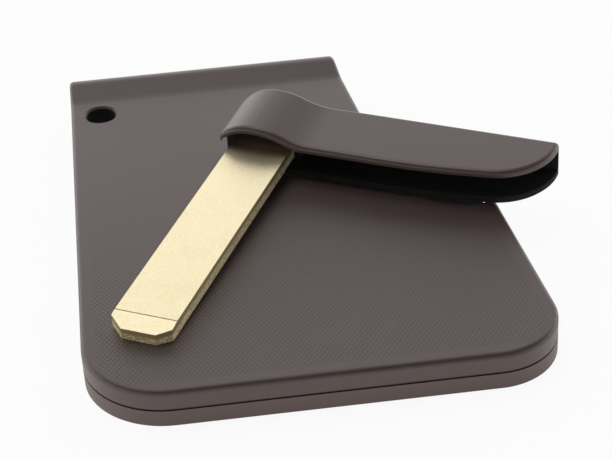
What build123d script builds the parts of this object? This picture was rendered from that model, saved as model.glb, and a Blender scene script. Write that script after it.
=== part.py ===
from build123d import *
from math import asin, atan, cos, degrees, radians, sin, tan
import os

# A card-shaped smart key for a car, lying on its button side.
# Its emergency key is drawn out of the notch in the far right corner and laid across the back.
# All sizes are in millimetres. In the card's own plan, x runs to the right along the near end,
# y runs away from it along the left edge, and z is the height above the table.

# Card body
card_width = 56.5              # near end, between the sharp corners
card_length = 72.5
card_thickness = 5.0
edge_lean = 6.3                # degrees that the right edge leans inwards
notch_lean = 7.0               # degrees that the notch wall leans inwards
near_left_radius = 10.1
near_right_radius = 8.0
ledge_corner_radius = 0.5
notch_radius = 9.8
top_edge_radius = 0.6
bottom_edge_chamfer = 0.12
far_corner_radius = 0.6
cover_skin = 0.9
side_wall = 1.4
parting_height = 2.4
seam_groove = 0.18
tongue_length = 7.0            # of the tongue in the notch that the put-away head slides over
tongue_radius = 2.0
tongue_clearance = 0.15

# Raised grip along the far end of the back
grip_run = 6.4                 # from the foot of the slope to the far end
grip_slope = 13.5              # degrees
grip_nose_radius = 2.4
grip_foot_radius = 6.0

# Key ring hole
ring_hole_radius = 2.0
ring_hole_side = 4.1           # from the left edge
ring_hole_end = 10.1           # from the far end
ring_hole_wall = 1.3
ring_hole_chamfer = 0.3

# Emergency key blade, measured from the front edge of the head
blade_width = 8.0
blade_thickness = 1.8
blade_reach = 37.9
blade_shank = 8.0
blade_scribe = 2.8             # from the tip to the scribed line
blade_scribe_depth = 0.1
blade_scribe_width = 0.15
blade_tip_thickness = 1.5
blade_left_chamfer = (2.0, 1.8)
blade_right_chamfer = (1.6, 1.3)
blade_peg = 4.6
blade_peg_radius = 1.3
blade_peg_clearance = 0.03

# Emergency key head, measured across from the middle of the blade
head_left = 5.5                # to the rounded nose
head_right = 37.4              # to the free end
head_depth = 10.0
head_bend_start = 16.0         # from here the front edge bends back gently
head_bend_radius = 95.0
head_corner_radius = 7.9
head_outer_radius = 3.2
head_skin = 0.9                # over the cavity
head_floor = 1.2               # under the cavity
head_back_wall = 0.9
head_gap = 0.4                 # from the notch wall when the key is put away
head_end_gap = 0.15            # from the ledge when the key is put away
head_sink = 0.2                # how far the put-away head stands in from the card's edge
head_overhang = 1.0            # how far it stands out past the far end, as a hold for a fingernail
head_edge_radius = 0.6
head_under_chamfer = 0.4
head_boss_right = 4.7
head_boss_recess = 2.4
swell_rise = 1.65              # height of the nose above the flat of the head
swell_crest = -0.9
swell_foot = 7.0
swell_shoulder = 0.6           # how far below the flat the upright side ends
swell_nose_lean = 12.0         # degrees that the nose leans in where it leaves the side
swell_nose_radius = 1.6

# Where the drawn key lies on the back of the card
key_x = 24.3
key_y = 43.45
key_turn = 62.25               # degrees from the near edge to the blade's way into the head
key_rest_gap = 0.02

# Blade channel, its steel sleeve and the leaf that grips the blade
channel_clearance = 0.15
channel_wall = 1.2
sleeve_sheet = 0.2
sleeve_length = 26.0
sleeve_start = 1.2             # from the notch wall
sleeve_return = 1.2
leaf_length = 16.0
leaf_width = 4.0
leaf_sheet = 0.2
leaf_press = 0.05

# Buttons on the front, which faces down
button_length = 11.6
button_width = 6.4
button_recess = 0.15
button_clearance = 0.2
button_flange = 0.9
button_flange_thickness = 0.3
button_edge_chamfer = 0.2
button_column = 28.4
button_below_cell = 8.4        # from the middle of the cell to the last button
button_pitch = 11.0
button_travel = 0.3
button_names = ("lock", "unlock", "tailgate")

# Circuit board and what it carries
board_thickness = 0.6
board_height = 2.3
board_clearance = 0.8
lip_thickness = 0.5
lip_depth = 0.5
lip_clearance = 0.05
post_radius = 1.1
left_post_inset = 2.5          # from the near left corner's centre, both ways
right_post_inset = (10.1, 9.0) # from the near right corner
wall_post_inset = (7.8, 12.5)  # from the foot of the notch wall
cell_post_inset = (2.8, 12.9)  # from the board's edge and the middle of the cell
pin_radius = 0.5
pin_clearance = 0.05
switch_size = 4.6
switch_height = 0.7
switch_roof = 0.15
plunger_radius = 1.25
plunger_clearance = 0.05
plunger_spare = 0.05
cell_radius = 10.0
cell_thickness = 1.6
cell_side_gap = 1.2            # from the cell to the side wall's lip
cell_far_gap = 4.6             # from the cell to the solid far band
cell_clearance = 0.3
cell_stop_gap = 0.1
cell_stop_length = 4.0
cell_stop_thickness = 0.6
cell_stop_height = 0.6         # above the underside of the contact
cell_seat = 12.0
cell_cap_step = 1.2
cell_cap_height = 0.2
contact_sheet = 0.2
contact_width = 5.0
contact_foot = 2.4
contact_clearance = 0.3
contact_run = 7.5              # past the middle of the cell
chip_size = (7.0, 7.0)
chip_height = 0.9
chip_from_ledge = (12.6, 15.8)
radio_size = (5.0, 4.4)
radio_from_ledge = (12.1, 5.3)
crystal_size = (3.2, 2.5, 0.7)
crystal_from_ledge = (6.6, 9.3)
capacitor_size = (1.6, 0.8, 0.8)
capacitor_from_wall = (5.8, 1.0)
capacitor_pitch = 2.4
capacitor_count = 6
coil_length = 11.0
coil_width = 3.6
coil_height = 1.1
coil_flange = 1.4
coil_waist = 0.3
coil_edge_gap = 2.0            # from the board's edge
coil_corner_gap = 0.5          # from the rounded corner
coil_spacing = 7.0
flat_coil_size = 12.0
flat_coil_band = 2.2
flat_coil_inner_radius = 1.2
flat_coil_gap = 3.2

# Plan of the card, worked out from the sizes above
lean = radians(notch_lean)
inward = Vector(-cos(lean), -sin(lean))
along = Vector(-sin(lean), cos(lean))
notch_depth = head_depth + head_gap + head_sink
stowed_length = head_left + head_right + head_end_gap - head_overhang
ledge_y = card_length - stowed_length * cos(lean) + notch_depth / 2 * sin(lean)
ledge_outer = Vector(card_width - ledge_y * tan(radians(edge_lean)), ledge_y)
ledge_inner = ledge_outer + inward * (notch_depth - notch_radius)
wall_foot = ledge_outer + inward * notch_depth + along * notch_radius
wall_top = wall_foot + along * ((card_length - wall_foot.Y) / along.Y)
ring_hole = Vector(ring_hole_side, card_length - ring_hole_end)

# The put-away blade lies square to the notch wall, short of the key ring hole
blade_line = head_end_gap + head_right
channel_mouth = ledge_outer + along * blade_line
hole_inward = (ring_hole - channel_mouth).dot(inward)
channel_end = hole_inward - ring_hole_radius - ring_hole_wall
channel_width = blade_width + 2 * channel_clearance
channel_height = blade_thickness + 2 * channel_clearance

# Places inside, each counted from the wall, corner or notch that it keeps clear of
cell_x = side_wall + lip_clearance + lip_thickness + cell_side_gap + cell_radius
band_y = channel_mouth.Y - (channel_mouth.X - cell_x) * tan(lean) - (channel_width / 2 + channel_wall) / cos(lean)
cell_y = band_y - cell_far_gap - cell_radius
last_button = cell_y - button_below_cell
button_places = [
    (button_column, last_button - (len(button_names) - 1 - n) * button_pitch) for n in range(len(button_names))
]
board_edge = side_wall + board_clearance
coil_x_place = (near_left_radius + coil_spacing + coil_length / 2, board_edge + coil_edge_gap + coil_width / 2)
coil_y_place = (board_edge + coil_edge_gap + coil_width / 2, near_left_radius + coil_corner_gap + coil_length / 2)
flat_coil_place = (
    coil_y_place[0] + coil_width / 2 + flat_coil_gap + flat_coil_size / 2,
    near_left_radius + coil_corner_gap + flat_coil_size / 2,
)
chip_place = (ledge_outer.X - chip_from_ledge[0], ledge_outer.Y - chip_from_ledge[1])
radio_place = (ledge_outer.X - radio_from_ledge[0], ledge_outer.Y - radio_from_ledge[1])
crystal_place = (ledge_outer.X - crystal_from_ledge[0], ledge_outer.Y - crystal_from_ledge[1])
capacitor_place = (wall_foot.X - capacitor_from_wall[0], wall_foot.Y - capacitor_from_wall[1])
post_places = (
    (near_left_radius - left_post_inset, near_left_radius - left_post_inset),
    (card_width - right_post_inset[0], right_post_inset[1]),
    (wall_foot.X - wall_post_inset[0], wall_foot.Y + wall_post_inset[1]),
    (board_edge + cell_post_inset[0], cell_y - cell_post_inset[1]),
)
pin_places = post_places[::2]

# The drawn key tips up a little, because it rests on its blade's tip and the head's front edge
head_thickness = card_thickness
blade_floor = (head_thickness - blade_thickness) / 2
key_tilt = atan(blade_floor / blade_reach)
turn = radians(key_turn)
key_across = Vector(sin(turn), -cos(turn), 0)
key_in = Vector(cos(turn), sin(turn), 0)
key_up = key_in * -sin(key_tilt) + Vector(0, 0, cos(key_tilt))
reach = key_x + (key_across * head_right + key_in * head_depth).X

# Swell of the head: a nose arc, a flatter crown arc, then two equal arcs down to the flat
nose_lean = radians(swell_nose_lean)
nose_width = head_left + swell_crest - swell_nose_radius * cos(nose_lean)
nose_height = swell_rise + swell_shoulder + swell_nose_radius * sin(nose_lean)
crown_radius = (nose_width**2 + nose_height**2 - swell_nose_radius**2) / (2 * (nose_height - swell_nose_radius))
crown_sweep = asin(nose_width / (crown_radius - swell_nose_radius))
nose_sweep = radians(90) - nose_lean - crown_sweep
descent_run = swell_foot - swell_crest
descent_radius = (descent_run**2 + swell_rise**2) / (4 * swell_rise)
descent_sweep = asin(descent_run / 2 / descent_radius)

# Planes: the origin is on the table, under the middle of the whole object
card = Plane(origin=(-reach / 2, -card_length / 2, 0))
card_side = Plane(origin=card.origin, x_dir=(0, 1, 0), z_dir=(1, 0, 0))
stowed = Plane(
    origin=card.from_local_coords(Vector(channel_mouth.X, channel_mouth.Y, card_thickness / 2)),
    x_dir=inward * -1,
    z_dir=(0, 0, 1),
)
stowed_side = Plane(origin=stowed.origin, x_dir=stowed.x_dir, z_dir=stowed.y_dir * -1)
key = Plane(
    origin=card.from_local_coords(Vector(key_x, key_y, card_thickness + key_rest_gap)),
    x_dir=key_across,
    z_dir=key_up,
)
key_front = Plane(origin=key.origin, x_dir=key.x_dir, z_dir=key.y_dir * -1)
key_side = Plane(origin=key.origin, x_dir=key.y_dir, z_dir=key.x_dir)

# Levels inside the card
board_top = board_height + board_thickness
board_middle = board_height + board_thickness / 2
ceiling = card_thickness - cover_skin
tongue_floor = head_floor + tongue_clearance
tongue_top = head_thickness - head_skin - tongue_clearance
switch_floor = board_height - switch_height
button_top = cover_skin + button_flange_thickness
plunger_top = board_height - switch_roof - button_travel - plunger_spare
cell_floor = board_middle - cell_thickness / 2
cell_top = board_middle + cell_thickness / 2

os.makedirs("parts", exist_ok=True)


# Outlines shared by the covers and the board

# Card outline with its rounded corners
with BuildSketch() as outline:
    with BuildLine():
        Polyline((0, card_length), (0, 0), (card_width, 0), ledge_outer, ledge_inner)
        TangentArc(ledge_inner, wall_foot, tangent=inward)
        Polyline(wall_foot, wall_top, (0, card_length))
    make_face()
    fillet(outline.vertices().sort_by_distance((0, 0))[0], near_left_radius)
    fillet(outline.vertices().sort_by_distance((card_width, 0))[0], near_right_radius)
    fillet(outline.vertices().sort_by_distance(ledge_outer)[0], ledge_corner_radius)

# Tongue in the notch, inside the put-away head's back wall
with BuildSketch(Plane(origin=ledge_outer, x_dir=along, z_dir=(0, 0, 1))) as tongue_bar:
    tongue_inset = head_sink + head_back_wall + tongue_clearance
    with Locations((-notch_radius, tongue_inset)):
        Rectangle(notch_radius + tongue_length, notch_depth, align=Align.MIN)
    fillet(tongue_bar.vertices().sort_by_distance((tongue_length, tongue_inset))[0], tongue_radius)

with BuildSketch() as tongue:
    add(tongue_bar.sketch)
    add(outline.sketch, mode=Mode.SUBTRACT)

# Solid band at the far end, which holds the blade channel and the key ring hole
with BuildSketch(Plane(origin=channel_mouth, x_dir=inward * -1, z_dir=(0, 0, 1))) as far_band:
    with Locations((0, -channel_width / 2 - channel_wall)):
        Rectangle(3 * card_width, card_length, align=(Align.CENTER, Align.MIN))

# Hollow between the covers
with BuildSketch() as hollow:
    add(outline.sketch)
    offset(amount=-side_wall, kind=Kind.INTERSECTION, mode=Mode.REPLACE)
    add(far_band.sketch, mode=Mode.SUBTRACT)

# Lip of the back cover, inside the front cover's wall
with BuildSketch() as lip_outside:
    add(hollow.sketch)
    offset(amount=-lip_clearance, kind=Kind.INTERSECTION, mode=Mode.REPLACE)

with BuildSketch() as lip_inside:
    add(hollow.sketch)
    offset(amount=-lip_clearance - lip_thickness, kind=Kind.INTERSECTION, mode=Mode.REPLACE)

# Bottom of the groove between the covers
with BuildSketch() as seam_inside:
    add(outline.sketch)
    offset(amount=-seam_groove, kind=Kind.INTERSECTION, mode=Mode.REPLACE)

# Circuit board, with a bay for the coin cell that is open at the left
with BuildSketch() as board_outline:
    add(hollow.sketch)
    offset(amount=-board_clearance, kind=Kind.INTERSECTION, mode=Mode.REPLACE)
    with Locations((cell_x, cell_y)):
        Circle(cell_radius + cell_clearance, mode=Mode.SUBTRACT)
    with Locations((cell_x - cell_radius, cell_y)):
        Rectangle(cell_radius, 1.5 * cell_radius, mode=Mode.SUBTRACT)


# Bore of the key ring hole, flared at both faces, cut from both covers
with BuildPart() as ring_bore:
    hole_plane = Plane(origin=card.from_local_coords(ring_hole), x_dir=(1, 0, 0), z_dir=(0, -1, 0))
    with BuildSketch(hole_plane):
        with BuildLine():
            Polyline(
                (0, -ring_hole_chamfer),
                (ring_hole_radius + 2 * ring_hole_chamfer, -ring_hole_chamfer),
                (ring_hole_radius, ring_hole_chamfer),
                (ring_hole_radius, card_thickness - ring_hole_chamfer),
                (ring_hole_radius + 2 * ring_hole_chamfer, card_thickness + ring_hole_chamfer),
                (0, card_thickness + ring_hole_chamfer),
                close=True,
            )
        make_face()
    revolve(axis=Axis(hole_plane.origin, (0, 0, 1)))

# Channel of the put-away blade with the wider seat of its steel sleeve, cut from both covers
with BuildPart() as blade_channel:
    with BuildSketch(stowed.offset(-channel_height / 2)):
        with Locations((-notch_depth / 2, 0)):
            Rectangle(channel_end - notch_depth / 2, channel_width, align=(Align.MAX, Align.CENTER))
    extrude(amount=channel_height)
    with BuildSketch(stowed.offset(-channel_height / 2 - sleeve_sheet)):
        with Locations((-notch_depth - sleeve_start, 0)):
            Rectangle(sleeve_length, channel_width + 2 * sleeve_sheet, align=(Align.MAX, Align.CENTER))
    extrude(amount=channel_height + 2 * sleeve_sheet)


# Back cover: the shell that faces up, with the raised grip at its far end
with BuildPart() as back_cover:
    with BuildSketch(card.offset(parting_height)):
        add(outline.sketch)
    extrude(amount=2 * card_thickness)
    with BuildSketch(card_side) as back_profile:
        foot = (card_length - grip_run, card_thickness)
        peak = (card_length, card_thickness + grip_run * tan(radians(grip_slope)))
        with BuildLine():
            Polyline(
                (-side_wall, 0),
                (-side_wall, card_thickness),
                foot,
                peak,
                (card_length, 0),
                close=True,
            )
        make_face()
        fillet(back_profile.vertices().sort_by_distance(peak)[0], grip_nose_radius)
        fillet(back_profile.vertices().sort_by_distance(foot)[0], grip_foot_radius)
    extrude(amount=2 * card_width, both=True, mode=Mode.INTERSECT)
    # The rim runs round the top and down both far corners in one smooth chain
    uprights = back_cover.edges().filter_by(Axis.Z)
    across = back_cover.edges().filter_by(Axis.X)
    parting = back_cover.edges().group_by(Axis.Z)[0]
    rim = back_cover.edges() - uprights - across - parting
    fillet(rim + uprights.group_by(Axis.Y)[-1], top_edge_radius)
    # Hollow, the lip that locates the front cover, and posts that hold the board down
    with BuildSketch(card.offset(parting_height)):
        add(hollow.sketch)
    extrude(amount=ceiling - parting_height, mode=Mode.SUBTRACT)
    with BuildSketch(card.offset(parting_height)):
        add(hollow.sketch)
        add(lip_inside.sketch, mode=Mode.SUBTRACT)
    extrude(amount=lip_depth)
    with BuildSketch(card.offset(parting_height - lip_depth)):
        add(lip_outside.sketch)
        add(lip_inside.sketch, mode=Mode.SUBTRACT)
    extrude(amount=lip_depth)
    with BuildSketch(card.offset(board_top)):
        with Locations(*post_places):
            Circle(post_radius)
    extrude(amount=ceiling - board_top)
    with BuildSketch(card.offset(parting_height)):
        add(tongue.sketch)
    extrude(amount=tongue_top - parting_height)
    add(blade_channel.part, mode=Mode.SUBTRACT)
    add(ring_bore.part, mode=Mode.SUBTRACT)

back_cover.part.label = "back_cover"
export_step(back_cover.part, "parts/back_cover.step")


# Front cover: the lower shell, with the three button openings
with BuildPart() as front_cover:
    with BuildSketch(card):
        add(outline.sketch)
    extrude(amount=parting_height)
    fillet(front_cover.edges().filter_by(Axis.Z).group_by(Axis.Y)[-1], far_corner_radius)
    chamfer(front_cover.edges().group_by(Axis.Z)[0], bottom_edge_chamfer)
    # Groove that shows as the dark line between the covers
    with BuildSketch(card.offset(parting_height - seam_groove)):
        add(outline.sketch)
        offset(amount=card_width)
        add(seam_inside.sketch, mode=Mode.SUBTRACT)
    extrude(amount=seam_groove, mode=Mode.SUBTRACT)
    # Hollow with its button openings
    with BuildSketch(card.offset(cover_skin)):
        add(hollow.sketch)
    extrude(amount=parting_height - cover_skin, mode=Mode.SUBTRACT)
    with BuildSketch(card):
        with Locations(*button_places):
            SlotOverall(button_length + 2 * button_clearance, button_width + 2 * button_clearance)
    extrude(amount=cover_skin, mode=Mode.SUBTRACT)
    # Posts under the board, two of them with a pin through it
    with BuildSketch(card.offset(cover_skin)):
        with Locations(*post_places):
            Circle(post_radius)
    extrude(amount=board_height - cover_skin)
    with BuildSketch(card.offset(board_height)):
        with Locations(*pin_places):
            Circle(pin_radius)
    extrude(amount=board_thickness)
    # Seat of the coin cell under its lower contact, and four stops round the cell
    with BuildSketch(card.offset(cover_skin)):
        with Locations((cell_x, cell_y)):
            Rectangle(cell_seat, cell_seat)
    extrude(amount=cell_floor - contact_sheet - cover_skin)
    with BuildSketch(card.offset(cover_skin)):
        with Locations((cell_x, cell_y)):
            with PolarLocations(cell_radius + cell_stop_gap + cell_stop_thickness / 2, 4, start_angle=45):
                Rectangle(cell_stop_thickness, cell_stop_length)
    extrude(amount=cell_floor - contact_sheet - cover_skin + cell_stop_height)
    with BuildSketch(card.offset(tongue_floor)):
        add(tongue.sketch)
    extrude(amount=parting_height - tongue_floor)
    add(blade_channel.part, mode=Mode.SUBTRACT)
    add(ring_bore.part, mode=Mode.SUBTRACT)

front_cover.part.label = "front_cover"
export_step(front_cover.part, "parts/front_cover.step")


# Buttons, each with its switch on the board above and the plunger between them
for name, place in zip(button_names, button_places):
    with BuildPart() as button:
        with BuildSketch(card.offset(button_recess)):
            with Locations(place):
                SlotOverall(button_length, button_width)
        extrude(amount=button_top - button_recess)
        chamfer(button.edges().group_by(Axis.Z)[0], button_edge_chamfer)
        with BuildSketch(card.offset(cover_skin)):
            with Locations(place):
                SlotOverall(button_length + 2 * button_flange, button_width + 2 * button_flange)
        extrude(amount=button_flange_thickness)
    button.part.label = name + "_button"
    export_step(button.part, "parts/" + name + "_button.step")

    with BuildPart() as plunger:
        with BuildSketch(card.offset(button_top)):
            with Locations(place):
                Circle(plunger_radius)
        extrude(amount=plunger_top - button_top)
    plunger.part.label = name + "_plunger"
    export_step(plunger.part, "parts/" + name + "_plunger.step")

    with BuildPart() as switch:
        with BuildSketch(card.offset(switch_floor)):
            with Locations(place):
                Rectangle(switch_size, switch_size)
        extrude(amount=switch_height)
        with BuildSketch(card.offset(switch_floor)):
            with Locations(place):
                Circle(plunger_radius + plunger_clearance)
        extrude(amount=switch_height - switch_roof, mode=Mode.SUBTRACT)
    switch.part.label = name + "_switch"
    export_step(switch.part, "parts/" + name + "_switch.step")


# Circuit board, held between the posts of both covers
with BuildPart() as circuit_board:
    with BuildSketch(card.offset(board_height)):
        add(board_outline.sketch)
        with Locations(*pin_places):
            Circle(pin_radius + pin_clearance, mode=Mode.SUBTRACT)
    extrude(amount=board_thickness)

circuit_board.part.label = "circuit_board"
export_step(circuit_board.part, "parts/circuit_board.step")

# Coin cell: a steel can above, and the smaller negative cap below
with BuildPart() as coin_cell:
    with BuildSketch(card.offset(cell_floor)):
        with Locations((cell_x, cell_y)):
            Circle(cell_radius - cell_cap_step)
    extrude(amount=cell_thickness)
    with BuildSketch(card.offset(cell_floor + cell_cap_height)):
        with Locations((cell_x, cell_y)):
            Circle(cell_radius)
    extrude(amount=cell_thickness - cell_cap_height)

coin_cell.part.label = "coin_cell"
export_step(coin_cell.part, "parts/coin_cell.step")

# Battery contacts: steel strips bent once, one from the can's top and one from the cap below
step_x = cell_x + cell_radius + 2 * cell_clearance
contact_levels = (("positive", cell_top, board_top), ("negative", cell_floor - contact_sheet, board_height - contact_sheet))
for pole, cell_level, board_level in contact_levels:
    cell_plane = Plane(origin=card.from_local_coords((0, cell_y, 0)), x_dir=(1, 0, 0), z_dir=(0, -1, 0))
    low = min(cell_level, board_level)
    high = max(cell_level, board_level) + contact_sheet
    with BuildPart() as contact:
        with BuildSketch(cell_plane):
            with Locations((cell_x - contact_run, cell_level)):
                Rectangle(step_x + contact_sheet - cell_x + contact_run, contact_sheet, align=Align.MIN)
            with Locations((step_x, low)):
                Rectangle(contact_sheet, high - low, align=Align.MIN)
            with Locations((step_x, board_level)):
                Rectangle(contact_foot, contact_sheet, align=Align.MIN)
        extrude(amount=contact_width / 2, both=True)
    contact.part.label = "battery_contact_" + pole
    export_step(contact.part, "parts/battery_contact_" + pole + ".step")


# Chips in moulded resin
for name, place, size in (("control_chip", chip_place, chip_size), ("radio_chip", radio_place, radio_size)):
    with BuildPart() as chip:
        with BuildSketch(card.offset(board_top)):
            with Locations(place):
                Rectangle(*size)
        extrude(amount=chip_height)
    chip.part.label = name
    export_step(chip.part, "parts/" + name + ".step")

# Crystal in its metal can
with BuildPart() as crystal:
    with BuildSketch(card.offset(board_top)):
        with Locations(crystal_place):
            Rectangle(crystal_size[0], crystal_size[1])
    extrude(amount=crystal_size[2])

crystal.part.label = "crystal"
export_step(crystal.part, "parts/crystal.step")

# Row of chip capacitors
with BuildPart() as capacitors:
    with BuildSketch(card.offset(board_top)):
        with Locations(capacitor_place):
            with GridLocations(0, capacitor_pitch, 1, capacitor_count):
                Rectangle(capacitor_size[0], capacitor_size[1])
    extrude(amount=capacitor_size[2])

capacitors.part.label = "capacitors"
export_step(capacitors.part, "parts/capacitors.step")


# Aerial coils: two wound bars at right angles, each between end flanges, and one flat ring
for name, place, bar_turn in (("x", coil_x_place, 0), ("y", coil_y_place, 90)):
    with BuildPart() as coil:
        with BuildSketch(card.offset(board_top)):
            with Locations(Location((place[0], place[1], 0), (0, 0, bar_turn))):
                with GridLocations(coil_length - coil_flange, 0, 2, 1):
                    Rectangle(coil_flange, coil_width)
        extrude(amount=coil_height)
        with BuildSketch(card.offset(board_top + coil_waist)):
            with Locations(Location((place[0], place[1], 0), (0, 0, bar_turn))):
                Rectangle(coil_length - coil_flange, coil_width - 2 * coil_waist)
        extrude(amount=coil_height - 2 * coil_waist)
    coil.part.label = "antenna_coil_" + name
    export_step(coil.part, "parts/antenna_coil_" + name + ".step")

with BuildPart() as antenna_coil_z:
    with BuildSketch(card.offset(board_top)):
        with Locations(flat_coil_place):
            RectangleRounded(flat_coil_size, flat_coil_size, flat_coil_band + flat_coil_inner_radius)
            RectangleRounded(
                flat_coil_size - 2 * flat_coil_band,
                flat_coil_size - 2 * flat_coil_band,
                flat_coil_inner_radius,
                mode=Mode.SUBTRACT,
            )
    extrude(amount=coil_height)

antenna_coil_z.part.label = "antenna_coil_z"
export_step(antenna_coil_z.part, "parts/antenna_coil_z.step")


# Blade sleeve: sheet steel folded round the channel, open along the middle of its top
with BuildPart() as blade_sleeve:
    sleeve_end = (-notch_depth - sleeve_start, 0)
    with BuildSketch(stowed.offset(-channel_height / 2 - sleeve_sheet)):
        with Locations(sleeve_end):
            Rectangle(sleeve_length, channel_width + 2 * sleeve_sheet, align=(Align.MAX, Align.CENTER))
    extrude(amount=channel_height + 2 * sleeve_sheet)
    with BuildSketch(stowed.offset(-channel_height / 2)):
        with Locations(sleeve_end):
            Rectangle(sleeve_length, channel_width, align=(Align.MAX, Align.CENTER))
    extrude(amount=channel_height, mode=Mode.SUBTRACT)
    with BuildSketch(stowed.offset(channel_height / 2)):
        with Locations(sleeve_end):
            Rectangle(sleeve_length, channel_width - 2 * sleeve_return, align=(Align.MAX, Align.CENTER))
    extrude(amount=sleeve_sheet, mode=Mode.SUBTRACT)

blade_sleeve.part.label = "blade_sleeve"
export_step(blade_sleeve.part, "parts/blade_sleeve.step")

# Blade spring: a leaf in the sleeve's open top, bowed down so that it presses on the blade
with BuildPart() as blade_spring:
    leaf_middle = -notch_depth - sleeve_start - sleeve_length / 2
    leaf_crown = channel_height / 2
    leaf_bow = channel_clearance + leaf_press
    with BuildSketch(stowed_side):
        with BuildLine():
            left_end = leaf_middle - leaf_length / 2
            right_end = leaf_middle + leaf_length / 2
            ThreePointArc((left_end, leaf_crown), (leaf_middle, leaf_crown - leaf_bow), (right_end, leaf_crown))
            Line((right_end, leaf_crown), (right_end, leaf_crown + leaf_sheet))
            ThreePointArc(
                (right_end, leaf_crown + leaf_sheet),
                (leaf_middle, leaf_crown + leaf_sheet - leaf_bow),
                (left_end, leaf_crown + leaf_sheet),
            )
            Line((left_end, leaf_crown + leaf_sheet), (left_end, leaf_crown))
        make_face()
    extrude(amount=leaf_width / 2, both=True)

blade_spring.part.label = "blade_spring"
export_step(blade_spring.part, "parts/blade_spring.step")


# Emergency key blade: flat brass blank with a chamfered tip, a scribed line and a pierced shank
with BuildPart() as key_blade:
    with BuildSketch(key_side):
        with BuildLine():
            Polyline(
                (-blade_reach, blade_floor),
                (blade_shank, blade_floor),
                (blade_shank, blade_floor + blade_thickness),
                (blade_scribe - blade_reach, blade_floor + blade_thickness),
                (-blade_reach, blade_floor + blade_tip_thickness),
                close=True,
            )
        make_face()
    extrude(amount=blade_width / 2, both=True)
    half = blade_width / 2
    with BuildSketch(key) as blade_plan:
        with BuildLine():
            Polyline(
                (-half, blade_shank),
                (-half, blade_left_chamfer[1] - blade_reach),
                (blade_left_chamfer[0] - half, -blade_reach),
                (half - blade_right_chamfer[0], -blade_reach),
                (half, blade_right_chamfer[1] - blade_reach),
                (half, blade_shank),
                close=True,
            )
        make_face()
        with Locations((0, blade_peg)):
            Circle(blade_peg_radius + blade_peg_clearance, mode=Mode.SUBTRACT)
    extrude(amount=head_thickness, mode=Mode.INTERSECT)
    with BuildSketch(key.offset(blade_floor + blade_thickness)):
        with Locations((0, blade_scribe - blade_reach)):
            Rectangle(blade_width, blade_scribe_width)
    extrude(amount=-blade_scribe_depth, mode=Mode.SUBTRACT)

key_blade.part.label = "key_blade"
export_step(key_blade.part, "parts/key_blade.step")

# Emergency key head: a bar open along its front, with a swollen end over the blade's root
with BuildPart() as key_head:
    with BuildSketch(key_front) as head_profile:
        with BuildLine():
            nose = JernArc(
                (-head_left, head_thickness - swell_shoulder),
                (sin(nose_lean), cos(nose_lean)),
                swell_nose_radius,
                -degrees(nose_sweep),
            )
            crown = JernArc(nose @ 1, nose % 1, crown_radius, -degrees(crown_sweep))
            descent = JernArc(crown @ 1, (1, 0), descent_radius, -degrees(descent_sweep))
            landing = JernArc(descent @ 1, descent % 1, descent_radius, degrees(descent_sweep))
            Polyline(landing @ 1, (head_right, head_thickness), (head_right, 0), (-head_left, 0), nose @ 0)
        make_face()
    extrude(amount=-head_depth)
    with BuildSketch(key) as head_plan:
        with BuildLine():
            straight = Line((-head_left, 0), (head_bend_start, 0))
            bend_sweep = degrees(asin((head_right - head_bend_start) / head_bend_radius))
            bend = JernArc(straight @ 1, (1, 0), head_bend_radius, bend_sweep)
            Polyline(bend @ 1, (head_right, head_depth), (-head_left, head_depth), straight @ 0)
        make_face()
        fillet(head_plan.vertices().sort_by_distance(bend @ 1)[0], head_corner_radius)
        fillet(head_plan.vertices().sort_by_distance((-head_left, head_depth))[0], head_outer_radius)
    extrude(amount=2 * head_thickness, both=True, mode=Mode.INTERSECT)
    # Rounded rims, leaving out the smooth lines that run over the swell
    bottom = key_head.edges().group_by(Axis(key.origin, key.z_dir))[0]
    over_swell = key_head.edges().filter_by(Axis(key.origin, key.y_dir)).group_by(Axis(key.origin, key.x_dir))[1:-1]
    rim = key_head.edges() - bottom
    for lines in over_swell:
        rim = rim - lines
    fillet(rim, head_edge_radius)
    chamfer(key_head.edges().group_by(Axis(key.origin, key.z_dir))[0], head_under_chamfer)
    # Cavity between the two skins, and the sunk face round the blade's root under the swell
    with BuildSketch(key.offset(head_floor)):
        with Locations((head_boss_right, -head_depth)):
            Rectangle(2 * head_right, 2 * head_depth - head_back_wall, align=Align.MIN)
    extrude(amount=head_thickness - head_skin - head_floor, mode=Mode.SUBTRACT)
    with BuildSketch(key_front.offset(head_depth)):
        with Locations((0, -head_skin)):
            add(head_profile.sketch_local)
        with Locations((head_boss_right, head_floor)):
            Rectangle(4 * head_left, 2 * head_thickness, align=(Align.MAX, Align.MIN), mode=Mode.INTERSECT)
    extrude(amount=-head_depth - head_boss_recess, mode=Mode.SUBTRACT)
    # Pocket moulded round the blade's shank, with the peg through it
    with BuildSketch(key.offset(blade_floor)):
        Rectangle(blade_width, 2 * blade_shank)
        with Locations((0, blade_peg)):
            Circle(blade_peg_radius, mode=Mode.SUBTRACT)
    extrude(amount=blade_thickness, mode=Mode.SUBTRACT)

key_head.part.label = "key_head"
export_step(key_head.part, "parts/key_head.step")
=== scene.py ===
# %% [markdown]
# A card-shaped smart key for a car lies on a white table with its back up.
# Its emergency key has been drawn out of the notch and laid across the card.
# The CAD model is already right in shape and size, so this script gives it
# its surfaces, its light and the photograph's point of view.

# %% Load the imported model
from math import radians

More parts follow.
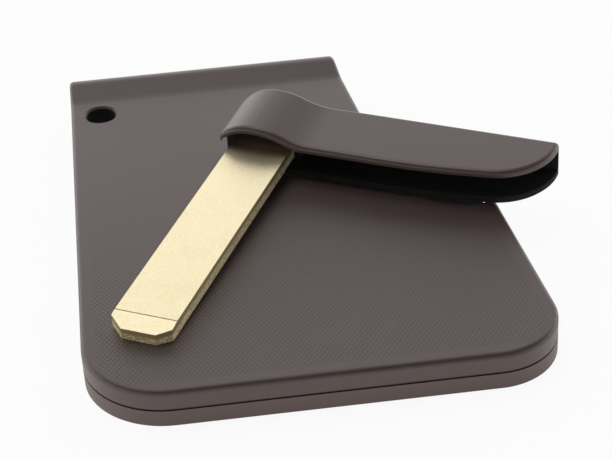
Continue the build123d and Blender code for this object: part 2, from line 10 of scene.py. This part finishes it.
import bpy
import numpy as np
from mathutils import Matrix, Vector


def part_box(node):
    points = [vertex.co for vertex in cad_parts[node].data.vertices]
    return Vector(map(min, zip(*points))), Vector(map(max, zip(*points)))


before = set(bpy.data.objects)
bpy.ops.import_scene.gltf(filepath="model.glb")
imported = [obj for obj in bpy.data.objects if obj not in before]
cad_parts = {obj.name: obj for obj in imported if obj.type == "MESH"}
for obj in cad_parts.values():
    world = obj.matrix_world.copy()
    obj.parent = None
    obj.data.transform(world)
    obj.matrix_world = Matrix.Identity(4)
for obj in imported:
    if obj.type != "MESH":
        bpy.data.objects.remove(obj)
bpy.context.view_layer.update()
print("pieces:", len(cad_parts))

# %% [markdown]
# The card's own plan is used for every pattern: its origin is the near left
# corner and its unit is the metre. The model's origin is under the middle of
# the whole object, so one shift takes a point of the card into the model.

# %% The card in the model
MM = 0.001
CARD_CORNER = np.array([-31.027, -36.25, 0.0]) * MM
CARD_WIDTH = 56.5 * MM
CARD_TOP = 5.0 * MM
print("card corner in the model, mm:", CARD_CORNER / MM)

# %% [markdown]
# Shader maths reads best as plain arithmetic. The class below wraps one socket
# of a material, so that `1 - mask` or `height * 0.5` adds the Math node that
# works it out. Every other kind of node comes from its one method `node`.
# Colours are mixed by Mix nodes, because a Math node would turn them grey.


# %% A value in a material
class Value:
    """Wraps an output socket; arithmetic on it adds Math nodes to the same material."""

    def __init__(self, tree, socket):
        self.tree = tree
        self.socket = socket

    def node(self, kind, settings=None, sockets=None, output=0):
        """Adds one node: its settings first, then its socket values or links."""
        new = self.tree.nodes.new(kind)
        for name, setting in (settings or {}).items():
            setattr(new, name, setting)
        for name, given in (sockets or {}).items():
            if isinstance(given, Value):
                self.tree.links.new(given.socket, new.inputs[name])
            else:
                new.inputs[name].default_value = given
        return Value(self.tree, new.outputs[output])

    def math(self, operation, *others):
        """One Math node of this value and the others."""
        sockets = dict(enumerate((self, *others)))
        return self.node("ShaderNodeMath", {"operation": operation}, sockets)

    def __add__(self, other):
        return self.math("ADD", other)

    __radd__ = __add__

    def __mul__(self, other):
        return self.math("MULTIPLY", other)

    __rmul__ = __mul__

    def __sub__(self, other):
        return self.math("SUBTRACT", other)

    def __rsub__(self, other):
        return self.node("ShaderNodeMath", {"operation": "SUBTRACT"}, {0: other, 1: self})

    def sine(self):
        return self.math("SINE")

    def smaller(self, other):
        return self.math("MINIMUM", other)

    def larger(self, other):
        return self.math("MAXIMUM", other)

    def length(self, other):
        """Length of the vector whose two parts are this value and the other."""
        return (self * self + other * other).math("SQRT")

    def rise(self, low, high):
        """0 below low, 1 above high and a smooth step between them."""
        settings = {"interpolation_type": "SMOOTHSTEP"}
        sockets = {"Value": self, "From Min": low, "From Max": high}
        return self.node("ShaderNodeMapRange", settings, sockets)

    def blend(self, first, second):
        """Mixes two colours by this value: 0 gives the first, 1 the second."""
        settings = {"data_type": "RGBA"}
        return self.node("ShaderNodeMix", settings, {0: self, 6: first, 7: second}, output=2)

    def parts(self):
        """The x, y and z of this vector as three values."""
        split = self.node("ShaderNodeSeparateXYZ", sockets={"Vector": self})
        return [Value(self.tree, out) for out in split.socket.node.outputs]


# %% [markdown]
# Each finish starts from Object coordinates, the place of a point in the
# model's own metres. Patterns made from them keep their real size on every
# piece, and they stay put when a piece moves with its body.


# %% Start and end a finish
def start_finish(name):
    """A new material, its Principled shader, the point and the point's x, y and z."""
    material = bpy.data.materials.new(name)
    material.use_nodes = True
    tree = material.node_tree
    tree.nodes.clear()
    shader = tree.nodes.new("ShaderNodeBsdfPrincipled")
    output = tree.nodes.new("ShaderNodeOutputMaterial")
    tree.links.new(shader.outputs["BSDF"], output.inputs["Surface"])
    coordinates = tree.nodes.new("ShaderNodeTexCoord")
    point = Value(tree, coordinates.outputs["Object"])
    return material, shader, point, point.parts()


def set_finish(shader, **sockets):
    """Sets or links the shader's sockets; a double underscore in a name stands for a space."""
    for name, given in sockets.items():
        socket = shader.inputs[name.replace("__", " ")]
        if isinstance(given, Value):
            given.tree.links.new(given.socket, socket)
        else:
            socket.default_value = given


# %% [markdown]
# A finish is made of three things. Noise gives grain and wear, a Bump node
# makes a small relief of it, and colours are picked on the screen. The shader
# works with linear light, so a picked colour is converted first.


# %% Grain, relief and tone
def grain(point, scale, detail=2.0, roughness=0.5):
    """Noise about 1/scale metres in size."""
    sockets = {"Vector": point, "Scale": scale, "Detail": detail, "Roughness": roughness}
    return point.node("ShaderNodeTexNoise", sockets=sockets)


def relief(height, depth):
    """A Bump node: height 1 stands depth metres above height 0."""
    return height.node("ShaderNodeBump", sockets={"Height": height, "Distance": depth})


def tone(red, green, blue):
    """A colour as picked on the screen, 0 to 255, made linear for the shader."""
    screen = np.array([red, green, blue]) / 255.0
    linear = np.where(screen <= 0.04045, screen / 12.92, ((screen + 0.055) / 1.055) ** 2.4)
    return (*linear, 1.0)


print("a mid tone as the shader sees it:", np.round(tone(104, 96, 94), 3))

# %% [markdown]
# The card's covers are moulded in one dull warm grey plastic. The mould's flat
# face was etched with fine crossed lines, which leave rows of tiny diamonds on
# the back, each a little longer than wide. They are the lower of two sine waves
# along crossed diagonals, so that each rises between four grooves. A mask keeps
# them on the flat face, off the rim and the grip, and they grow fainter toward
# the far end, as in the photograph.

# %% Etched diamonds
DIAMOND_WIDTH = 0.6 * MM
DIAMOND_LENGTH = 0.89 * MM
RIGHT_EDGE_LEAN = 0.1104
RIM_WIDTH = 1.3 * MM
RIM_FADE = 0.8 * MM
FACE_NEAR = 0.02 * MM
FACE_FAR = 0.1 * MM
FIELD_END = 64.9 * MM
FIELD_END_FADE = 0.6 * MM
FAINT_FROM = 12 * MM
FAINT_TO = 45 * MM
FAINTNESS = 0.85

case, shader, point, (x, y, z) = start_finish("card_plastic")
across = x - float(CARD_CORNER[0])
away = y - float(CARD_CORNER[1])
across_turns = across * (2 * np.pi / DIAMOND_WIDTH)
away_turns = away * (2 * np.pi / DIAMOND_LENGTH)
diamonds = (across_turns + away_turns).sine().smaller((across_turns - away_turns).sine())

from_right = CARD_WIDTH - across - away * RIGHT_EDGE_LEAN
from_rim = across.smaller(from_right).smaller(away)
etched = z.rise(CARD_TOP - FACE_FAR, CARD_TOP - FACE_NEAR)
etched = etched * (1 - z.rise(CARD_TOP + FACE_NEAR, CARD_TOP + FACE_FAR))
etched = etched * from_rim.rise(RIM_WIDTH, RIM_WIDTH + RIM_FADE)
etched = etched * (1 - away.rise(FIELD_END, FIELD_END + FIELD_END_FADE))
etched = etched * (1 - away.rise(FAINT_FROM, FAINT_TO) * FAINTNESS)
facets = diamonds * etched
print("diamonds across the card:", round(CARD_WIDTH / DIAMOND_WIDTH))

# %% [markdown]
# Light hardly reaches the ring hole's bore, the edge of the notch under the
# head and the narrow gap between the covers, and the photograph shows them
# nearly black. Masks darken them: two go by the distance from the middle of the
# hole and of the notch, and one by height.

# %% Places without light
RING_HOLE = (4.1 * MM, 62.4 * MM)
RING_HOLE_RADIUS = 2.0 * MM
BORE_FADE = 0.1 * MM
NOTCH = (51.04 * MM, 41.04 * MM)
NOTCH_RADIUS = 9.8 * MM
EDGE_FROM = 0.5 * MM
EDGE_TO = 0.9 * MM
GAP_TOP = 2.46 * MM
GAP_TOP_FADE = 0.08 * MM

from_hole = (across - RING_HOLE[0]).length(away - RING_HOLE[1])
bore = 1 - from_hole.rise(RING_HOLE_RADIUS, RING_HOLE_RADIUS + BORE_FADE)
from_notch = (across - NOTCH[0]).length(away - NOTCH[1])
notch_edge = 1 - from_notch.rise(NOTCH_RADIUS + EDGE_FROM, NOTCH_RADIUS + EDGE_TO)
unlit = bore.larger(notch_edge)
gap_shade = 1 - z.rise(GAP_TOP, GAP_TOP + GAP_TOP_FADE)
print("top of the gap between the covers, mm:", round(GAP_TOP / MM, 2))

# %% [markdown]
# The rim, the grip and the sides are only lightly sparked, as spark erosion
# leaves a steel mould. The sides get a lighter tone, which is painted light, and
# the grooves between the diamonds a darker one, which is painted shade. One
# material serves the whole cover.


# %% Card plastic
def moulded_grain(point):
    """Fine sparking, and broad patches of wear that run smoothly from 0 to 1."""
    spark = grain(point, 9000.0, 3.0, 0.6)
    wear = grain(point, 60.0, 3.0).rise(0.35, 0.7)
    return spark, wear


PLASTIC_IOR = 1.5
DIAMOND_DEPTH = 0.034 * MM
SIDE_FROM = 0.3 * MM
SIDE_TO = 0.9 * MM
SEAM_SHADE = tone(9, 7, 7)

spark, wear = moulded_grain(point)
colour = wear.blend(tone(79, 63, 60), tone(75, 60, 57))
# Painted light: the cover's sides get a lighter tone than its face.
painted_side_light = 1 - z.rise(CARD_TOP - SIDE_TO, CARD_TOP - SIDE_FROM)
colour = painted_side_light.blend(colour, tone(101, 84, 81))
# Painted shade: the grooves between the diamonds get a darker tone.
colour = facets.rise(-1.0, 0.0).blend(tone(64, 51, 48), colour)
# Painted shade: the bore, the notch's edge and the gap between the covers turn near black.
colour = unlit.larger(gap_shade).blend(colour, SEAM_SHADE)
set_finish(
    shader,
    Base__Color=colour,
    Roughness=0.4 + (1 - spark) * 0.1 - wear * 0.04 + unlit * 0.4,
    IOR=PLASTIC_IOR,
    Normal=relief(facets * 0.5 + spark * 0.2, DIAMOND_DEPTH),
)
print("depth of the etching, mm:", round(DIAMOND_DEPTH / MM, 3))

# %% [markdown]
# The front cover is the same plastic without the etched field. It gets a
# slightly lighter tone than the back, which is painted light, and its share of
# the gap gets the same near-black painted shade.

# %% Sparked plastic
SPARK_DEPTH = 0.006 * MM
GAP_FOOT = 2.18 * MM
GAP_FOOT_FADE = 0.04 * MM

shell, shader, point, (_, _, z) = start_finish("sparked_plastic")
spark, wear = moulded_grain(point)
gap_shade = z.rise(GAP_FOOT, GAP_FOOT + GAP_FOOT_FADE)
# Painted light in the lighter tone, and painted shade on the cover's share of the gap.
set_finish(
    shader,
    Base__Color=gap_shade.blend(wear.blend(tone(113, 96, 92), tone(109, 93, 89)), SEAM_SHADE),
    Roughness=0.5 + (1 - spark) * 0.1 - wear * 0.04,
    IOR=PLASTIC_IOR,
    Normal=relief(spark, SPARK_DEPTH),
)
print("foot of the gap between the covers, mm:", round(GAP_FOOT / MM, 2))

# %% [markdown]
# The emergency key lies turned on the card and tips up a little, because it
# rests on its blade's tip and on the head. Its patterns are therefore measured
# in its own directions, from the middle of the head's front edge.

# %% The key's own directions
KEY_PLACE = CARD_CORNER + np.array([24.3, 43.45, 5.02]) * MM
KEY_TURN = radians(62.25)
BLADE_REACH = 37.9 * MM
HEAD_RISE = 1.6 * MM
KEY_TILT = HEAD_RISE / BLADE_REACH


def key_axes(x, y, z):
    """How far the point is into the head, left of the blade's middle and above the underside."""
    from_x = x - float(KEY_PLACE[0])
    from_y = y - float(KEY_PLACE[1])
    inward = from_x * float(np.cos(KEY_TURN)) + from_y * float(np.sin(KEY_TURN))
    leftward = from_y * float(np.cos(KEY_TURN)) - from_x * float(np.sin(KEY_TURN))
    above = z - float(KEY_PLACE[2]) - inward * KEY_TILT
    return inward, leftward, above


print("rise along the key:", round(KEY_TILT, 4))

# %% [markdown]
# The head of the emergency key is the same plastic from a finer mould. It is
# touched most, so it has a soft polish that is uneven from handling. Its open
# cavity and the lip under it lie in deep shade and are nearly black in the
# photograph, so a mask that goes by height above the key's underside paints that
# shade into their colour. It ends before the far edge and before the left end,
# which the light reaches. The far edge is less handled and rougher.

# %% Smooth plastic of the key's head
LIP_LEVEL = 0.15 * MM
LIP_FADE = 0.2 * MM
SKIN_LEVEL = 4.05 * MM
SKIN_FADE = 0.1 * MM
CAVITY_DEPTH = 9.2 * MM
CAVITY_FADE = 0.3 * MM
LEFT_END = 5.25 * MM
LEFT_END_FADE = 0.2 * MM
FAR_EDGE = 9.6 * MM
FAR_EDGE_FADE = 0.6 * MM
POLISH_DEPTH = 0.003 * MM
DEEP_SHADE = tone(11, 7, 6)

grip, shader, point, (x, y, z) = start_finish("head_plastic")
spark = grain(point, 14000.0, 2.0, 0.5)
handled = grain(point, 140.0, 3.0).rise(0.3, 0.75)
inward, leftward, above = key_axes(x, y, z)
# Painted shade: the cavity and the lip under it get a near-black tone.
cavity = above.rise(LIP_LEVEL, LIP_LEVEL + LIP_FADE)
cavity = cavity * (1 - above.rise(SKIN_LEVEL, SKIN_LEVEL + SKIN_FADE))
cavity = cavity * (1 - inward.rise(CAVITY_DEPTH, CAVITY_DEPTH + CAVITY_FADE))
cavity = cavity * (1 - leftward.rise(LEFT_END, LEFT_END + LEFT_END_FADE))
far_edge = inward.rise(FAR_EDGE, FAR_EDGE + FAR_EDGE_FADE)
set_finish(
    shader,
    Base__Color=cavity.blend(handled.blend(tone(79, 63, 60), tone(74, 60, 57)), DEEP_SHADE),
    Roughness=0.34 + spark * 0.08 - handled * 0.05 + cavity * 0.6 + far_edge * 0.3,
    IOR=PLASTIC_IOR,
    Normal=relief(spark, POLISH_DEPTH),
)
print("dark cavity, mm into the head:", round(CAVITY_DEPTH / MM, 1))

# %% [markdown]
# The blade is an uncut blank of rolled brass. Rolling leaves a fine mottle and
# faint streaks along the strip. The streaks come from noise that a Mapping node
# turns to the blade's direction and stretches along it. A stain from handling
# lies over both in patches.

# %% Rolled brass
STREAK_STRETCH = 12.0

brass, shader, point, (x, y, z) = start_finish("rolled_brass")
strip = point.node(
    "ShaderNodeMapping",
    {"vector_type": "TEXTURE"},
    {"Vector": point, "Rotation": (0.0, 0.0, KEY_TURN), "Scale": (STREAK_STRETCH, 1.0, 1.0)},
)
streaks = grain(strip, 5200.0, 4.0, 0.6)
mottle = grain(point, 2600.0, 4.0, 0.65)
stain = grain(point, 170.0, 2.0).rise(0.5, 0.8) * 0.25
rolled = mottle.rise(0.3, 0.7).blend(tone(223, 210, 173), tone(231, 220, 186))
rolled = stain.blend(rolled, tone(208, 193, 150))
print("streaks, times longer than wide:", STREAK_STRETCH)

# %% [markdown]
# The blade's sides were sheared. A smooth band runs under the top edge, and
# below it the metal tore and is rough. A mask finds the sides: they are the
# points that lie below the top face, which slopes down over the tip. The sides
# get a darker tone than the top, which is painted shade, and flecks of the torn
# metal a light, less metallic tone, which is painted highlight.

# %% Sheared sides of the blade
BLADE_TOP = 3.4 * MM
TIP_TOP = 3.1 * MM
TIP_LENGTH = 2.8 * MM
TIP_SLOPE = (BLADE_TOP - TIP_TOP) / TIP_LENGTH
SHEARED_FROM = 0.08 * MM
SHEARED_TO = 0.13 * MM
TORN_FROM = 0.6 * MM
TORN_TO = 0.9 * MM
TEAR_DEPTH = 0.05 * MM

inward, _, above = key_axes(x, y, z)
top_face = ((inward + BLADE_REACH) * TIP_SLOPE + TIP_TOP).smaller(BLADE_TOP)
below_top = top_face - above
sheared = below_top.rise(SHEARED_FROM, SHEARED_TO)
torn = below_top.rise(TORN_FROM, TORN_TO)
tear = grain(point, 3200.0, 3.0, 0.7)
# Painted highlights on the torn flecks, and painted shade on the rest of the sides.
ragged_glints = torn * tear.rise(0.35, 0.65)
side_shade_and_glints = ragged_glints.blend(tone(190, 172, 122), tone(240, 226, 196))
set_finish(
    shader,
    Base__Color=sheared.blend(rolled, side_shade_and_glints),
    Metallic=1 - ragged_glints * 0.3,
    Roughness=0.27 + mottle * 0.1 + streaks * 0.05 + sheared * 0.2 + torn * 0.15,
    Normal=relief(streaks * 0.03 + mottle * 0.03 + tear * torn, TEAR_DEPTH),
)
print("slope of the tip:", round(TIP_SLOPE, 3))

# %% [markdown]
# The pieces inside are hidden, but the exported model can be opened, so each
# has a plain true finish of its own. Most differ only in colour, metal,
# roughness and the size of their grain, so one function makes those.

# %% Finishes inside
UNEVENNESS = 0.16


def plain_finish(name, dark, light, roughness, size, depth, metal):
    """A finish whose colour and roughness vary with one grain; size and depth are in mm."""
    material, shader, point, _ = start_finish(name)
    fine = grain(point, 1.0 / (size * MM), 3.0)
    set_finish(
        shader,
        Base__Color=fine.rise(0.35, 0.65).blend(tone(*dark), tone(*light)),
        Metallic=metal,
        Roughness=roughness + (fine - 0.5) * UNEVENNESS,
        Normal=relief(fine, depth * MM),
    )
    return material


plain_rows = [
    ("button_plastic", (66, 60, 59), (74, 67, 66), 0.52, 0.14, 0.004, 0.0),
    ("plunger_plastic", (214, 212, 204), (226, 224, 217), 0.5, 0.4, 0.003, 0.0),
    ("switch_plastic", (30, 30, 31), (38, 38, 39), 0.5, 0.3, 0.003, 0.0),
    ("nickel_steel", (176, 175, 170), (196, 195, 191), 0.3, 0.2, 0.002, 1.0),
    ("spring_strip", (160, 160, 158), (184, 184, 182), 0.32, 0.15, 0.002, 1.0),
    ("chip_resin", (24, 24, 26), (32, 32, 34), 0.55, 0.1, 0.004, 0.0),
    ("fired_ceramic", (158, 128, 96), (176, 146, 112), 0.6, 0.2, 0.003, 0.0),
]
plain = {row[0]: plain_finish(*row) for row in plain_rows}
print("plain finishes:", ", ".join(plain))

# %% [markdown]
# The circuit board has a green lacquer over its copper. The tracks are a
# raised, lighter pattern of straight runs: two square waves, one across and
# one along, each shown only in its own patches of a coarse noise.

# %% Lacquered circuit board
TRACK_PITCH = 0.9 * MM
TRACK_HEIGHT = 0.02 * MM

board_finish, shader, point, (x, y, _) = start_finish("board_lacquer")
patch = grain(point, 150.0, 1.0)
lines_across = (x * (2 * np.pi / TRACK_PITCH)).sine().rise(0.55, 0.65)
lines_along = (y * (2 * np.pi / TRACK_PITCH)).sine().rise(0.55, 0.65)
tracks = lines_across * patch.rise(0.5, 0.52) + lines_along * (1 - patch.rise(0.46, 0.48))
set_finish(
    shader,
    Base__Color=tracks.blend(tone(22, 74, 44), tone(40, 104, 62)),
    Roughness=0.34 + patch * 0.1,
    Coat__Weight=0.3,
    Normal=relief(tracks, TRACK_HEIGHT),
)
print("pitch of the tracks, mm:", round(TRACK_PITCH / MM, 1))

# %% [markdown]
# The two bar aerials are wound with fine varnished copper wire between dark
# ferrite ends, and the flat one is a ring of the same wire. The winding is a
# sine wave along the bar, so each bar's material runs its own way.

# %% Wound aerials
WIRE_PITCH = 0.16 * MM
WIRE_DEPTH = 0.05 * MM
WOUND_FADE = 0.05 * MM
BAR_FLANGE = 1.4 * MM
FLAT_FLANGE = 0.1 * MM


def winding_finish(name, axis, start, end):
    """Copper wire wound between start and end, in metres along one axis, on dark ferrite."""
    material, shader, _, axes = start_finish(name)
    along = axes[axis]
    wires = (along * (2 * np.pi / WIRE_PITCH)).sine() * 0.5 + 0.5
    wound = along.rise(start, start + WOUND_FADE) * (1 - along.rise(end - WOUND_FADE, end))
    copper = wires.blend(tone(96, 48, 24), tone(178, 104, 58))
    set_finish(
        shader,
        Base__Color=wound.blend(tone(44, 43, 44), copper),
        Metallic=wound * 0.85,
        Roughness=0.55 - wound * 0.2,
        Normal=relief(wires * wound, WIRE_DEPTH),
    )
    return material


low_x, high_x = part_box("antenna_coil_x")
low_y, high_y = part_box("antenna_coil_y")
low_z, high_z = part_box("antenna_coil_z")
span_x = (low_x[0] + BAR_FLANGE, high_x[0] - BAR_FLANGE)
span_y = (low_y[1] + BAR_FLANGE, high_y[1] - BAR_FLANGE)
span_z = (low_z[2] + FLAT_FLANGE, high_z[2] - FLAT_FLANGE)
coil_finishes = {
    "antenna_coil_x": winding_finish("winding_across", 0, *span_x),
    "antenna_coil_y": winding_finish("winding_along", 1, *span_y),
    "antenna_coil_z": winding_finish("winding_flat", 2, *span_z),
}
print("bar aerial, mm:", round((high_x[0] - low_x[0]) / MM, 1))

# %% [markdown]
# Every CAD node keeps its mesh and its place. Only the material in its slots
# is changed, so the shape stays exactly the one that was packed.

# %% Give every piece its finish
finishes = {
    "back_cover": case,
    "front_cover": shell,
    "key_head": grip,
    "key_blade": brass,
    "circuit_board": board_finish,
    "coin_cell": plain["nickel_steel"],
    "crystal": plain["nickel_steel"],
    "capacitors": plain["fired_ceramic"],
    "control_chip": plain["chip_resin"],
    "radio_chip": plain["chip_resin"],
    "battery_contact_positive": plain["spring_strip"],
    "battery_contact_negative": plain["spring_strip"],
    "blade_sleeve": plain["spring_strip"],
    "blade_spring": plain["spring_strip"],
    **coil_finishes,
}
for name in ("lock", "unlock", "tailgate"):
    for part in ("button", "plunger", "switch"):
        finishes[name + "_" + part] = plain[part + "_plastic"]
for name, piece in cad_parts.items():
    for slot in piece.material_slots:
        slot.material = finishes[name]
print("pieces with a finish:", len(finishes))

# %% [markdown]
# The table is one large white sheet, a hair below the model so that no two
# faces lie in one plane. The camera sees part of it as plain white, so that it
# reads as a studio background, while the rest of its shader is matt and keeps
# the soft shadow under the key. Shiny surfaces see the same white, through the
# Light Path node.

# %% White table
TABLE_REACH = 2.0
TABLE_DROP = 0.02 * MM
WHITE_SHARE = 0.93
WHITE = (1.0, 1.0, 1.0, 1.0)
MATT_WHITE = (0.93, 0.93, 0.93, 1.0)

corners = np.array([(-1, -1, 0), (1, -1, 0), (1, 1, 0), (-1, 1, 0)]) * TABLE_REACH
corners[:, 2] = -TABLE_DROP
mesh = bpy.data.meshes.new("table")
mesh.from_pydata(corners.tolist(), [], [(0, 1, 2, 3)])
table = bpy.data.objects.new("table", mesh)
bpy.context.scene.collection.objects.link(table)

table_white = bpy.data.materials.new("table_white")
table_white.use_nodes = True
tree = table_white.node_tree
tree.nodes.clear()
path = tree.nodes.new("ShaderNodeLightPath")
seen = Value(tree, path.outputs["Is Camera Ray"])
seen = seen.larger(Value(tree, path.outputs["Is Glossy Ray"]))
seen = seen.larger(Value(tree, path.outputs["Is Transmission Ray"]))
matt = seen.node("ShaderNodeBsdfDiffuse", sockets={"Color": MATT_WHITE})
glow = seen.node("ShaderNodeEmission", sockets={"Color": WHITE, "Strength": 1.0})
mixed = seen.node("ShaderNodeMixShader", sockets={0: seen * WHITE_SHARE, 1: matt, 2: glow})
output = tree.nodes.new("ShaderNodeOutputMaterial")
tree.links.new(mixed.socket, output.inputs["Surface"])
mesh.materials.append(table_white)
print("share of plain white on the table:", WHITE_SHARE)

# %% [markdown]
# The photograph was taken against a bright backdrop, with little light from the
# camera's side. The world does the same: it is bright behind the key, more so
# low down, and brightest low down at both sides. It falls off overhead, which
# leaves the grip and other slopes that face the camera darker. In front only a
# low band is bright, as from a white table's far part, and lights the card's
# sides. The pattern follows the direction, which the Object output gives in a
# world. The camera itself sees plain white.

# %% World
FRONT = 0.04
LOW_FRONT = 1.2
BACKDROP = 1.5
HORIZON = 0.7
SIDES = 2.6

world = bpy.data.worlds.new("studio")
bpy.context.scene.world = world
world.use_nodes = True
tree = world.node_tree
tree.nodes.clear()
coordinates = tree.nodes.new("ShaderNodeTexCoord")
side, back, up = Value(tree, coordinates.outputs["Object"]).parts()
path = tree.nodes.new("ShaderNodeLightPath")
seen = Value(tree, path.outputs["Is Camera Ray"])
behind = back.rise(-0.2, 0.8)
strength = behind * (1 - up.rise(0.5, 0.95)) * BACKDROP
strength = strength + behind * (1 - up.rise(0.05, 0.5)) * HORIZON
strength = strength + side * side * (1 - up.rise(0.0, 0.4)) * SIDES
strength = strength + (1 - behind) * (1 - up.rise(0.0, 0.3)) * LOW_FRONT + FRONT
strength = strength * (1 - seen) + seen
sky = seen.node("ShaderNodeBackground", sockets={"Color": WHITE, "Strength": strength})
output = tree.nodes.new("ShaderNodeOutputWorld")
tree.links.new(sky.socket, output.inputs["Surface"])
print("world strength in front:", FRONT)

# %% [markdown]
# One wide soft box hangs over the key, a little behind it and to the left, and
# is turned to face it. It makes the soft shadows in front of the pieces and to
# the right of them.

# %% Soft box
BOX_PLACE = (-0.12, 0.14, 0.68)
BOX_WIDTH = 0.5
BOX_DEPTH = 0.36
BOX_POWER = 1.7

light = bpy.data.lights.new("top_box", "AREA")
light.shape = "RECTANGLE"
light.size = BOX_WIDTH
light.size_y = BOX_DEPTH
light.energy = BOX_POWER
lamp = bpy.data.objects.new("top_box", light)
lamp.location = BOX_PLACE
flat = float(np.hypot(BOX_PLACE[0], BOX_PLACE[1]))
pitch = float(np.arctan2(flat, BOX_PLACE[2]))
heading = float(np.arctan2(BOX_PLACE[0], -BOX_PLACE[1]))
lamp.rotation_euler = (pitch, 0.0, heading)
bpy.context.scene.collection.objects.link(lamp)

# %% [markdown]
# The camera's place and angles were worked out from the photograph: the card's
# corners, its edges and the blade fix them together. It is a long lens from
# about a quarter of a metre, looking down at 34 degrees, rolled slightly.

# %% Camera
lens = bpy.data.cameras.new("photo_camera")
lens.sensor_width = 36.0
lens.lens = 114.318
lens.clip_start = 0.01
camera = bpy.data.objects.new("photo_camera", lens)
camera.location = (-0.019925, -0.206689, 0.140990)
camera.rotation_euler = (radians(55.7811), radians(2.7339), radians(-6.8654))
bpy.context.scene.collection.objects.link(camera)
bpy.context.scene.camera = camera
bpy.context.scene.view_settings.view_transform = "Standard"
print("lens, mm:", lens.lens)
